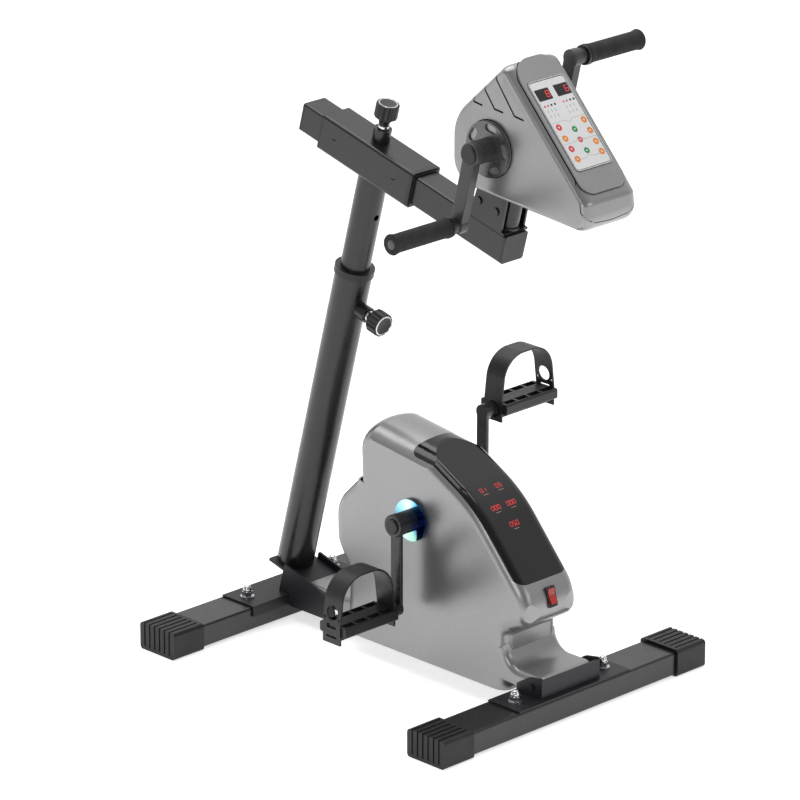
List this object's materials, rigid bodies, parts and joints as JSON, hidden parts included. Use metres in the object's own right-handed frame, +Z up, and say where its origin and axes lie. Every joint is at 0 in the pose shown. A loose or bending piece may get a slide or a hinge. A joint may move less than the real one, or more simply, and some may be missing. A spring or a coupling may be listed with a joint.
{
  "type": "leg and arm pedal exerciser",
  "caption": "Free-standing pedal trainer with a motorised leg crank on a floor base and a motorised hand crank on an arm that slides on a telescoping mast.",
  "frame": {"origin": "bottom centre of the whole object's box, on the floor", "axes": "+Z up, +X across to the user's right hand side when they face +Y, -Y towards the user"},
  "size_m": [0.49, 0.6244, 0.8739],
  "materials": {
    "black_paint": "satin black powder coat",
    "gloss_black_paint": "gloss black paint",
    "crank_paint": "satin dark grey paint on cast arms",
    "silver_shell": "fine metallic silver paint on moulded plastic",
    "silver_lid": "matt silver paint on moulded plastic",
    "black_rubber": "ribbed matt rubber",
    "strap_rubber": "moulded flexible strap",
    "grip_foam": "fine closed-cell foam",
    "black_plastic": "fine textured moulded plastic",
    "lens_gloss": "polished dark display lens",
    "rocker_red": "polished red rocker",
    "key_film": "printed white key film",
    "bright_zinc": "bright plated",
    "steel": "turned steel",
    "hub_mirror": "tinted mirror plating",
    "hub_satin": "satin silver disc",
    "board_green": "solder mask on board",
    "motor_can": "zinc plated can",
    "pulley_plastic": "glass filled nylon",
    "belt_rubber": "ribbed drive belt",
    "bearing_steel": "ground bearing steel",
    "inlet_plastic": "fine matt moulded plastic"
  },
  "bodies": {
    "base": {"front_crossbar": "black_paint", "rear_crossbar": "black_paint", "crossbar_end_caps": "black_rubber", "front_bracket": "gloss_black_paint", "rear_bracket": "gloss_black_paint", "main_beam": "black_paint", "base_bolts_and_washers": "bright_zinc", "base_acorn_nuts": "bright_zinc", "lower_housing_right": "silver_shell", "lower_housing_left": "silver_shell", "display_lens": "lens_gloss", "display_board": "board_green", "switch_body": "black_plastic", "power_inlet": "inlet_plastic", "axle_brackets": "black_paint", "lower_bearings": "bearing_steel", "lower_motor": "motor_can", "lower_belt": "belt_rubber", "control_board": "board_green", "mast_lower_tube": "black_paint", "mast_collar": "black_plastic"},
    "rocker": {"power_rocker": "rocker_red"},
    "mast_pin": {"mast_knob": "black_plastic"},
    "leg_crank": {"lower_axle": "steel", "lower_pulley": "pulley_plastic", "lower_hub_discs": "hub_mirror", "lower_crank_arms": "crank_paint", "lower_crank_caps": "black_plastic", "pedal_spindles": "steel"},
    "leg_motor_pulley": {"lower_motor_pulley": "pulley_plastic"},
    "left_foot_pedal": {"pedal_left": "black_plastic", "pedal_strap_left": "strap_rubber"},
    "right_foot_pedal": {"pedal_right": "black_plastic", "pedal_strap_right": "strap_rubber"},
    "upper_mast": {"mast_upper_tube": "black_paint", "reach_sleeve": "black_paint", "sleeve_bushings": "black_plastic"},
    "reach_pin": {"arm_knob": "black_plastic"},
    "arm": {"arm_tube": "black_paint", "arm_end_caps": "black_plastic", "head_bracket": "black_paint", "head_post": "black_paint", "upper_housing_left": "silver_shell", "upper_housing_right": "silver_shell", "upper_front_cover": "silver_shell", "upper_lid": "silver_lid", "key_panel": "key_film", "upper_board": "board_green", "upper_bearings": "bearing_steel", "upper_motor": "motor_can", "upper_belt": "belt_rubber"},
    "hand_crank": {"upper_axle": "steel", "upper_pulley": "pulley_plastic", "upper_hub_discs": "hub_satin", "upper_crank_arms": "crank_paint", "upper_crank_caps": "black_plastic", "grip_spindles": "steel"},
    "left_hand_grip": {"grip_left": "grip_foam"},
    "right_hand_grip": {"grip_right": "grip_foam"},
    "hand_motor_pulley": {"upper_motor_pulley": "pulley_plastic"}
  },
  "joints": [
    {"name": "leg_crank_turn", "type": "hinge", "parent": "base", "child": "leg_crank", "pos_m": [0, -0.00953, 0.2198], "axis": [1, 0, 0], "continuous": true},
    {"name": "left_pedal_spin", "type": "hinge", "parent": "leg_crank", "child": "left_foot_pedal", "pos_m": [0, -0.00953, 0.1032], "axis": [1, 0, 0], "continuous": true},
    {"name": "right_pedal_spin", "type": "hinge", "parent": "leg_crank", "child": "right_foot_pedal", "pos_m": [0, -0.00953, 0.3364], "axis": [1, 0, 0], "continuous": true},
    {"name": "leg_motor_spin", "type": "hinge", "parent": "base", "child": "leg_motor_pulley", "pos_m": [0, 0.07438, 0.1501], "axis": [1, 0, 0], "continuous": true},
    {"name": "mast_height", "type": "slide", "parent": "base", "child": "upper_mast", "axis": [0, -0.2554, 0.9668], "range_m": [-0.138, 0.138]},
    {"name": "mast_knob_pull", "type": "slide", "parent": "base", "child": "mast_pin", "axis": [0, -0.9668, -0.2554], "range_m": [0, 0.01], "stiffness_N_per_m": 1500, "springref_m": -0.006},
    {"name": "arm_reach", "type": "slide", "parent": "upper_mast", "child": "arm", "axis": [0, -0.9668, -0.2554], "range_m": [-0.075, 0.075]},
    {"name": "arm_knob_pull", "type": "slide", "parent": "upper_mast", "child": "reach_pin", "axis": [0, -0.2554, 0.9668], "range_m": [0, 0.01], "stiffness_N_per_m": 1500, "springref_m": -0.006},
    {"name": "hand_crank_turn", "type": "hinge", "parent": "arm", "child": "hand_crank", "pos_m": [0, -0.14409, 0.75665], "axis": [1, 0, 0], "continuous": true},
    {"name": "left_grip_spin", "type": "hinge", "parent": "hand_crank", "child": "left_hand_grip", "pos_m": [0, -0.12007, 0.65814], "axis": [1, 0, 0], "continuous": true},
    {"name": "right_grip_spin", "type": "hinge", "parent": "hand_crank", "child": "right_hand_grip", "pos_m": [0, -0.16811, 0.85517], "axis": [1, 0, 0], "continuous": true},
    {"name": "hand_motor_spin", "type": "hinge", "parent": "arm", "child": "hand_motor_pulley", "pos_m": [0, -0.21579, 0.71485], "axis": [1, 0, 0], "continuous": true},
    {"name": "power_switch", "type": "hinge", "parent": "base", "child": "rocker", "pos_m": [0, -0.21196, 0.15485], "axis": [1, 0, 0], "range_deg": [0, 16]}
  ],
  "couplings": [
    {"joint": "leg_motor_spin", "follows": "leg_crank_turn", "ratio": 4.3333},
    {"joint": "hand_motor_spin", "follows": "hand_crank_turn", "ratio": 4}
  ]
}
